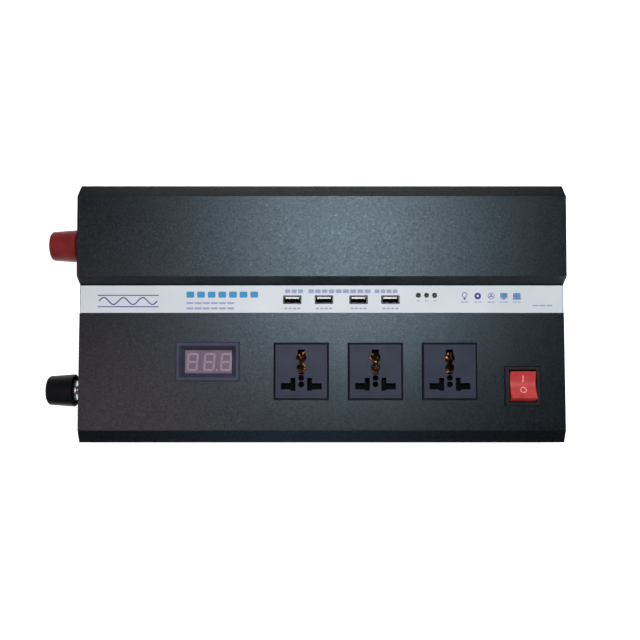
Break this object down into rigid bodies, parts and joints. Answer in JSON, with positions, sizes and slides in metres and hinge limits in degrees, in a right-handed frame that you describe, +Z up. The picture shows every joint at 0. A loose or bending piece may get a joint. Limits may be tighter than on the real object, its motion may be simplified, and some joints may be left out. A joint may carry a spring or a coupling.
{
  "type": "power inverter",
  "caption": "Low aluminium inverter case with a sloping panel of universal outlets, USB ports, panel meter and rocker switch, battery posts at one end and fans at the other.",
  "frame": {"origin": "centre of the bounding box on the plane that the rubber feet stand on", "axes": "+Z up, +X along the case from the battery posts to the fans, -Y is the front"},
  "size_m": [0.402, 0.1942, 0.0855],
  "materials": {
    "powder_coat": "fine sand-grain black powder coat",
    "label_white": "satin white printed film",
    "black_steel": "blackened steel",
    "rubber": "matt black",
    "slate_plastic": "moulded slate grey",
    "meter_window": "tinted display window",
    "circuit_board": "green solder mask",
    "black_plastic": "moulded black",
    "red_rocker": "satin red",
    "grey_plastic": "moulded grey",
    "brass": "rolled strip",
    "steel": "plated steel",
    "led_green": "unlit green lens",
    "red_plastic": "dark red insulating plastic",
    "ferrite": "ferrite core with varnished winding",
    "aluminium": "extruded bare aluminium"
  },
  "bodies": {
    "case": {"top_housing": "powder_coat", "bottom_cover": "powder_coat", "left_end_plate": "powder_coat", "right_end_plate": "powder_coat", "label_strip": "label_white", "left_screw_1": "black_steel", "left_screw_2": "black_steel", "left_screw_3": "black_steel", "left_screw_4": "black_steel", "right_screw_1": "black_steel", "right_screw_2": "black_steel", "right_screw_3": "black_steel", "right_screw_4": "black_steel", "foot_1": "rubber", "foot_2": "rubber", "foot_3": "rubber", "foot_4": "rubber", "meter_bezel": "slate_plastic", "outlet_1_face": "slate_plastic", "outlet_2_face": "slate_plastic", "outlet_3_face": "slate_plastic", "meter_window": "meter_window", "meter_board": "circuit_board", "usb_board": "circuit_board", "main_board": "circuit_board", "switch_body": "black_plastic", "outlet_1_body": "black_plastic", "outlet_2_body": "black_plastic", "outlet_3_body": "black_plastic", "fan_1_frame": "black_plastic", "fan_2_frame": "black_plastic", "negative_collar": "black_plastic", "outlet_1_earth_contact": "brass", "outlet_2_earth_contact": "brass", "outlet_3_earth_contact": "brass", "usb_port_1": "steel", "usb_port_2": "steel", "usb_port_3": "steel", "usb_port_4": "steel", "positive_stud": "steel", "negative_stud": "steel", "fan_1_guard": "steel", "fan_2_guard": "steel", "led_1": "led_green", "led_2": "led_green", "led_3": "led_green", "positive_collar": "red_plastic", "transformer_1": "ferrite", "transformer_2": "ferrite", "heat_sink": "aluminium"},
    "rocker": {"switch_rocker": "red_rocker"},
    "impeller_1": {"fan_1_impeller": "black_plastic"},
    "impeller_2": {"fan_2_impeller": "black_plastic"},
    "shutter_1": {"outlet_1_shutter": "grey_plastic"},
    "shutter_2": {"outlet_2_shutter": "grey_plastic"},
    "shutter_3": {"outlet_3_shutter": "grey_plastic"},
    "positive_washer_body": {"positive_washer": "steel"},
    "positive_knob_body": {"positive_knob": "red_plastic"},
    "negative_washer_body": {"negative_washer": "steel"},
    "negative_knob_body": {"negative_knob": "black_plastic"}
  },
  "joints": [
    {"name": "rocker_tilt", "type": "hinge", "parent": "case", "child": "rocker", "pos_m": [0.16595, -0.05487, 0.07505], "axis": [1, 0, 0], "range_deg": [0, 25]},
    {"name": "fan_1_spin", "type": "hinge", "parent": "case", "child": "impeller_1", "pos_m": [0.1882, 0.044, 0.0364], "axis": [1, 0, 0], "continuous": true},
    {"name": "fan_2_spin", "type": "hinge", "parent": "case", "child": "impeller_2", "pos_m": [0.1882, -0.044, 0.0364], "axis": [1, 0, 0], "continuous": true},
    {"name": "outlet_1_shutter_slide", "type": "slide", "parent": "case", "child": "shutter_1", "axis": [0, 0.9982, -0.0597], "range_m": [0, 0.0083], "stiffness_N_per_m": 60, "springref_m": -0.002},
    {"name": "outlet_2_shutter_slide", "type": "slide", "parent": "case", "child": "shutter_2", "axis": [0, 0.9982, -0.0597], "range_m": [0, 0.0083], "stiffness_N_per_m": 60, "springref_m": -0.002},
    {"name": "outlet_3_shutter_slide", "type": "slide", "parent": "case", "child": "shutter_3", "axis": [0, 0.9982, -0.0597], "range_m": [0, 0.0083], "stiffness_N_per_m": 60, "springref_m": -0.002},
    {"name": "positive_knob_travel", "type": "slide", "parent": "case", "child": "positive_washer_body", "axis": [-1, 0, 0], "range_m": [0, 0.00875]},
    {"name": "positive_knob_turn", "type": "hinge", "parent": "positive_washer_body", "child": "positive_knob_body", "pos_m": [-0.17705, 0.05375, 0.038], "axis": [-1, 0, 0], "range_deg": [0, 2520]},
    {"name": "negative_knob_travel", "type": "slide", "parent": "case", "child": "negative_washer_body", "axis": [-1, 0, 0], "range_m": [-0.00271, 0.00604]},
    {"name": "negative_knob_turn", "type": "hinge", "parent": "negative_washer_body", "child": "negative_knob_body", "pos_m": [-0.1799, -0.0608, 0.038], "axis": [-1, 0, 0], "range_deg": [-780, 1740]}
  ],
  "couplings": [
    {"joint": "positive_knob_travel", "follows": "positive_knob_turn", "m_per_rad": 0.00019894},
    {"joint": "negative_knob_travel", "follows": "negative_knob_turn", "m_per_rad": 0.00019894}
  ]
}
